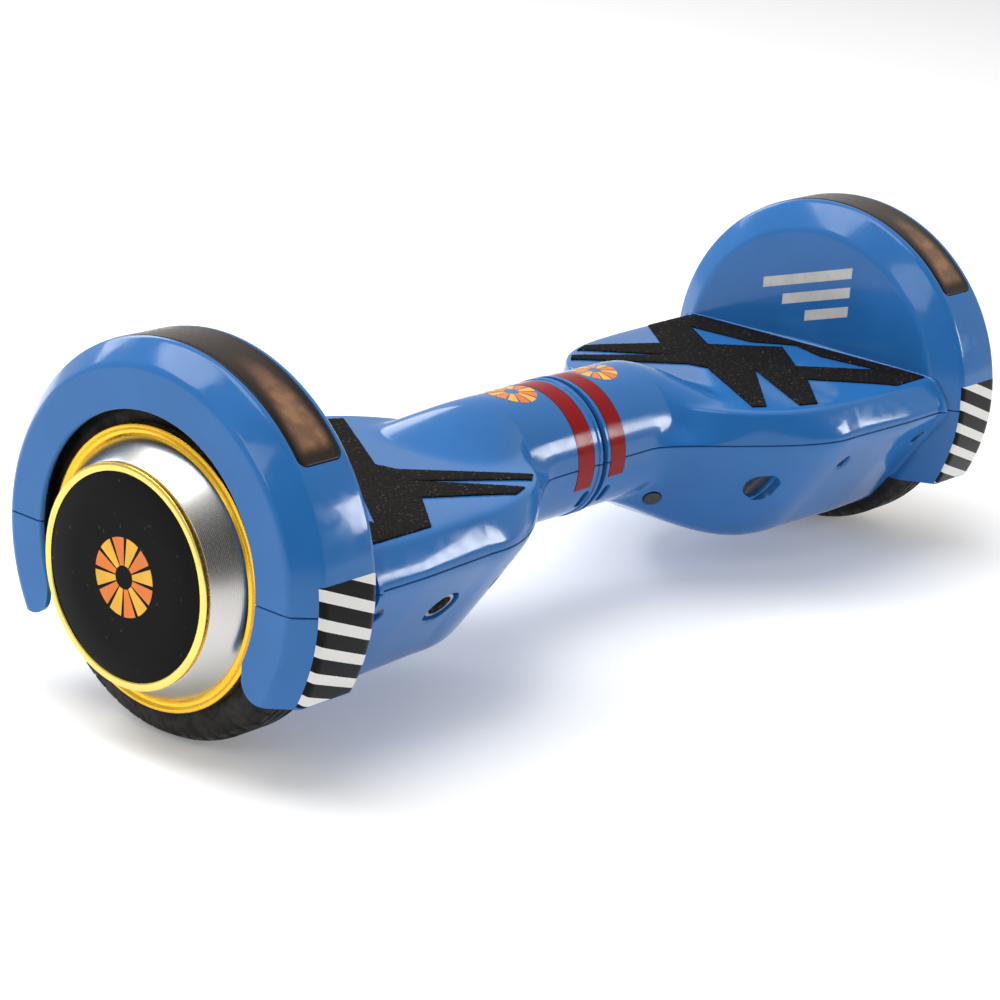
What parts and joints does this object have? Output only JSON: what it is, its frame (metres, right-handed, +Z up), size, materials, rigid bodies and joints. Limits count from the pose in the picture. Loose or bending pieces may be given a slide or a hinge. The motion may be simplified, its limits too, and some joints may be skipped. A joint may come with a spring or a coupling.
{
  "type": "self balancing hoverboard",
  "caption": "Two-wheeled self balancing board: glossy clamshell halves twist on a centre pivot between hub motor wheels under round fenders, with grip tape decks and smoked lamps.",
  "frame": {"origin": "middle of the footprint, on the ground between the two tyres", "axes": "+X along the board from the left wheel to the right wheel, -Y towards the front with the charging port and power button, +Z up"},
  "size_m": [0.584, 0.196, 0.1838],
  "materials": {
    "shell_blue": "glossy injection moulded ABS",
    "cast_aluminium": "as cast, satin",
    "steel": "turned steel",
    "bronze": "sintered bronze",
    "dark_steel": "blackened",
    "seal_dark_blue": "satin",
    "smoked_lens": "smoked polycarbonate, satin",
    "circuit_board": "solder mask",
    "grip_tape": "coarse grit",
    "tyre_rubber": "matt",
    "windings": "enamelled copper",
    "gold_trim": "gold anodised",
    "pale_gold_trim": "pale gold anodised",
    "gloss_black": "piano black",
    "battery_wrap": "shrink sleeve",
    "white_silicone": "satin",
    "black_plastic": "satin",
    "cable_black": "satin"
  },
  "bodies": {
    "left_half": {"upper_shell_left": "shell_blue", "lower_shell_left": "shell_blue", "frame_left": "cast_aluminium", "pivot_shaft": "steel", "retaining_ring": "dark_steel", "limit_pin": "steel", "centre_seal_ring": "seal_dark_blue", "lens_left": "smoked_lens", "led_board_left": "circuit_board", "grip_tape_left": "grip_tape", "stator_left": "windings", "axle_left": "steel", "axle_clamp_left": "cast_aluminium", "clamp_screws_left": "dark_steel", "battery_pack": "battery_wrap", "sensor_board_left": "circuit_board", "charge_port": "steel", "shell_screws_left": "dark_steel", "cables_left": "cable_black"},
    "right_half": {"upper_shell_right": "shell_blue", "lower_shell_right": "shell_blue", "frame_right": "cast_aluminium", "pivot_bushes": "bronze", "lens_right": "smoked_lens", "led_board_right": "circuit_board", "grip_tape_right": "grip_tape", "stator_right": "windings", "axle_right": "steel", "axle_clamp_right": "cast_aluminium", "clamp_screws_right": "dark_steel", "main_board": "circuit_board", "heat_sink": "cast_aluminium", "sensor_board_right": "circuit_board", "power_switch": "black_plastic", "shell_screws_right": "dark_steel", "cables_right": "cable_black", "screw_plug": "black_plastic"},
    "wheel_left": {"tyre_left": "tyre_rubber", "rim_left": "cast_aluminium", "magnets_left": "dark_steel", "wheel_bearings_left": "steel", "motor_cover_left": "cast_aluminium", "outer_trim_ring_left": "gold_trim", "hub_cone_left": "steel", "inner_trim_ring_left": "pale_gold_trim", "hub_cap_left": "gloss_black"},
    "wheel_right": {"tyre_right": "tyre_rubber", "rim_right": "cast_aluminium", "magnets_right": "dark_steel", "wheel_bearings_right": "steel", "motor_cover_right": "cast_aluminium", "outer_trim_ring_right": "gold_trim", "hub_cone_right": "steel", "inner_trim_ring_right": "pale_gold_trim", "hub_cap_right": "gloss_black"},
    "foot_sensor_left_front": {"foot_sensor_left_front": "white_silicone"},
    "foot_sensor_left_rear": {"foot_sensor_left_rear": "white_silicone"},
    "foot_sensor_right_front": {"foot_sensor_right_front": "white_silicone"},
    "foot_sensor_right_rear": {"foot_sensor_right_rear": "white_silicone"},
    "power_button": {"power_button": "black_plastic"}
  },
  "joints": [
    {"name": "centre_pivot", "type": "hinge", "parent": "left_half", "child": "right_half", "pos_m": [0, 0, 0.0855], "axis": [1, 0, 0], "range_deg": [-12, 12]},
    {"name": "wheel_left_spin", "type": "hinge", "parent": "left_half", "child": "wheel_left", "pos_m": [-0.25, 0, 0.081], "axis": [1, 0, 0], "continuous": true},
    {"name": "wheel_right_spin", "type": "hinge", "parent": "right_half", "child": "wheel_right", "pos_m": [0.25, 0, 0.081], "axis": [1, 0, 0], "continuous": true},
    {"name": "foot_sensor_left_front_press", "type": "slide", "parent": "left_half", "child": "foot_sensor_left_front", "axis": [0, 0, -1], "range_m": [0, 0.0012], "stiffness_N_per_m": 1500},
    {"name": "foot_sensor_left_rear_press", "type": "slide", "parent": "left_half", "child": "foot_sensor_left_rear", "axis": [0, 0, -1], "range_m": [0, 0.0012], "stiffness_N_per_m": 1500},
    {"name": "foot_sensor_right_front_press", "type": "slide", "parent": "right_half", "child": "foot_sensor_right_front", "axis": [0, 0, -1], "range_m": [0, 0.0012], "stiffness_N_per_m": 1500},
    {"name": "foot_sensor_right_rear_press", "type": "slide", "parent": "right_half", "child": "foot_sensor_right_rear", "axis": [0, 0, -1], "range_m": [0, 0.0012], "stiffness_N_per_m": 1500},
    {"name": "power_button_press", "type": "slide", "parent": "right_half", "child": "power_button", "axis": [0, 0.8141, 0.5807], "range_m": [0, 0.0015], "stiffness_N_per_m": 700}
  ]
}
